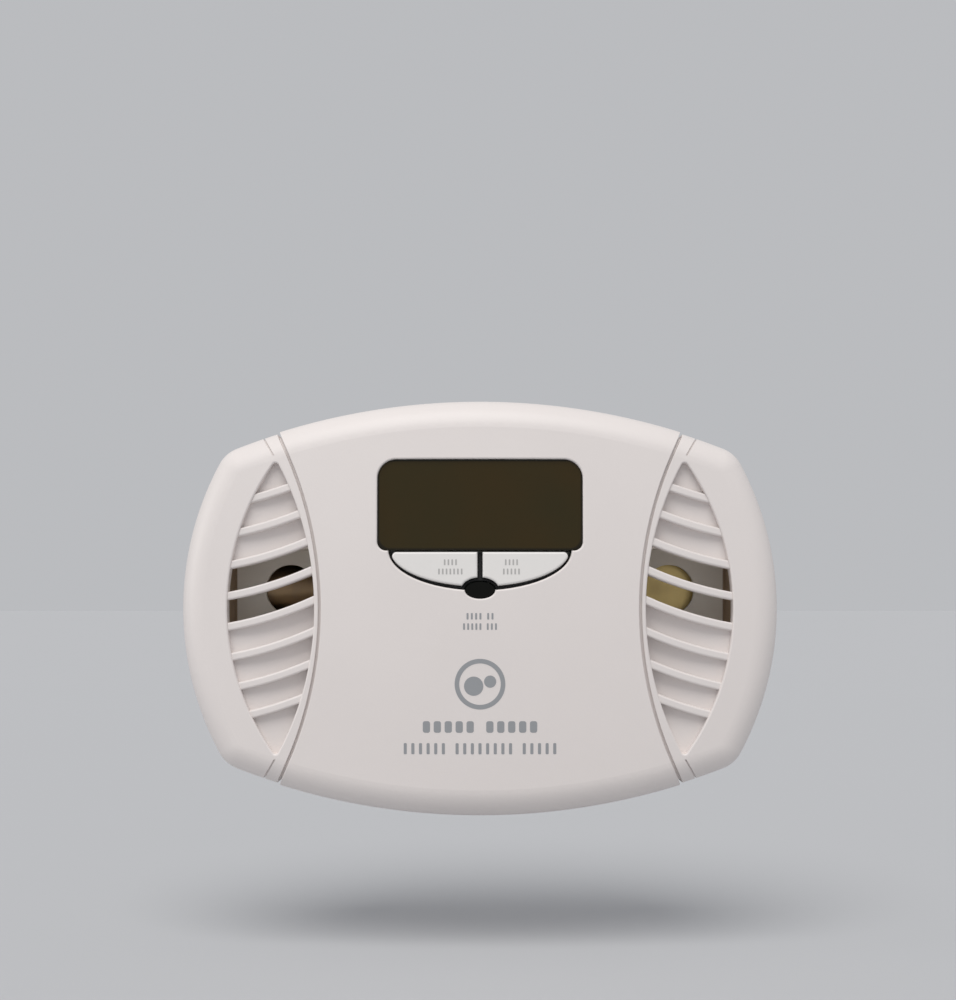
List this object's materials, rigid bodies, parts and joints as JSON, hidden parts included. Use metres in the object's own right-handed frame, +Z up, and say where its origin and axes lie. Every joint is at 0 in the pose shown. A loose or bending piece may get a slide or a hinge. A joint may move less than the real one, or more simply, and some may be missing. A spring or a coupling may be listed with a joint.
{
  "type": "carbon monoxide alarm",
  "caption": "Wide oval plug-in carbon monoxide alarm with a digital display, two push buttons, slatted side grilles, flat-blade mains plug and a hinged battery door.",
  "frame": {"origin": "on the flat back face that bears on the outlet's cover plate, on the alarm's middle plane and at the height of its outline's centre", "axes": "+X to the right and +Z up as seen from the front; the front faces -Y and the plug blades point along +Y"},
  "size_m": [0.142, 0.0579, 0.0982],
  "materials": {
    "shell": "fine moulded texture, warm off-white",
    "rear_shell": "fine moulded texture, warm off-white",
    "window": "dark smoked gloss, blank",
    "button": "smooth satin off-white",
    "seal": "soft black membrane",
    "light_lens": "smoked gloss",
    "door": "fine moulded texture",
    "plug_plastic": "satin thermoset",
    "blade": "bright rolled",
    "screw": "zinc plated",
    "board": "solder mask over glass laminate",
    "holder": "plain moulded",
    "display_glass": "clear with grey film",
    "diffuser": "milky sheet",
    "strip": "soft conductive strip",
    "switch_body": "black moulded",
    "plunger": "black moulded",
    "led": "clear epoxy",
    "chip": "black epoxy",
    "chamber": "pale smooth plastic, brown felt on the outer side wall",
    "sensor_steel": "nickel plated, warm tint",
    "sensor_plastic": "black moulded",
    "nickel": "nickel plated strip",
    "horn": "black moulded",
    "disc": "bright sheet",
    "ceramic": "silvered ceramic",
    "wire_red": "insulated wire",
    "wire_black": "insulated wire",
    "wire_white": "insulated wire",
    "ferrite": "sintered grey-black",
    "winding": "taped winding",
    "film_cap": "dipped box",
    "can": "sleeved can",
    "varistor": "epoxy dipped",
    "fuse": "glass tube",
    "diode": "moulded, banded",
    "cell": "sleeved cell with bright ends",
    "spring_steel": "nickel plated spring",
    "label": "blank printed film"
  },
  "bodies": {
    "alarm": {"front_cover": "shell", "display_lens": "window", "button_seal": "seal", "indicator_lens": "light_lens", "rear_housing": "rear_shell", "plug_insert": "plug_plastic", "neutral_blade": "blade", "line_blade": "blade", "case_screws": "screw", "board_screws": "screw", "circuit_board": "board", "display_holder": "holder", "lcd_glass": "display_glass", "lcd_backlight": "diffuser", "zebra_strip": "strip", "test_switch_body": "switch_body", "peak_switch_body": "switch_body", "status_led": "led", "microcontroller": "chip", "driver_chip": "chip", "chip_components": "chip", "sensor_chamber": "chamber", "horn_chamber": "chamber", "sensor_can": "sensor_steel", "sensor_cap": "sensor_plastic", "sensor_leads": "nickel", "horn_body": "horn", "horn_disc": "disc", "horn_ceramic": "ceramic", "horn_wires": "wire_red", "transformer_core": "ferrite", "transformer_bobbin": "winding", "film_capacitor": "film_cap", "electrolytic_capacitors": "can", "varistor": "varistor", "fuse": "fuse", "rectifier_diodes": "diode", "boost_inductor": "ferrite", "neutral_wire": "wire_white", "line_wire": "wire_black", "upper_cell": "cell", "lower_cell": "cell", "bridge_contact": "spring_steel", "positive_contact": "spring_steel", "negative_contact": "spring_steel", "rating_label": "label", "date_label": "label"},
    "test_button": {"test_silence_button": "button", "test_switch_plunger": "plunger"},
    "peak_button": {"peak_level_button": "button", "peak_switch_plunger": "plunger"},
    "battery_door": {"battery_door": "door"}
  },
  "joints": [
    {"name": "test_button_press", "type": "slide", "parent": "alarm", "child": "test_button", "axis": [0, 1, 0], "range_m": [0, 0.0008], "stiffness_N_per_m": 1000},
    {"name": "peak_button_press", "type": "slide", "parent": "alarm", "child": "peak_button", "axis": [0, 1, 0], "range_m": [0, 0.0008], "stiffness_N_per_m": 1000},
    {"name": "battery_door_hinge", "type": "hinge", "parent": "alarm", "child": "battery_door", "pos_m": [0, -0.0016, -0.005], "axis": [1, 0, 0], "range_deg": [0, 90]}
  ]
}
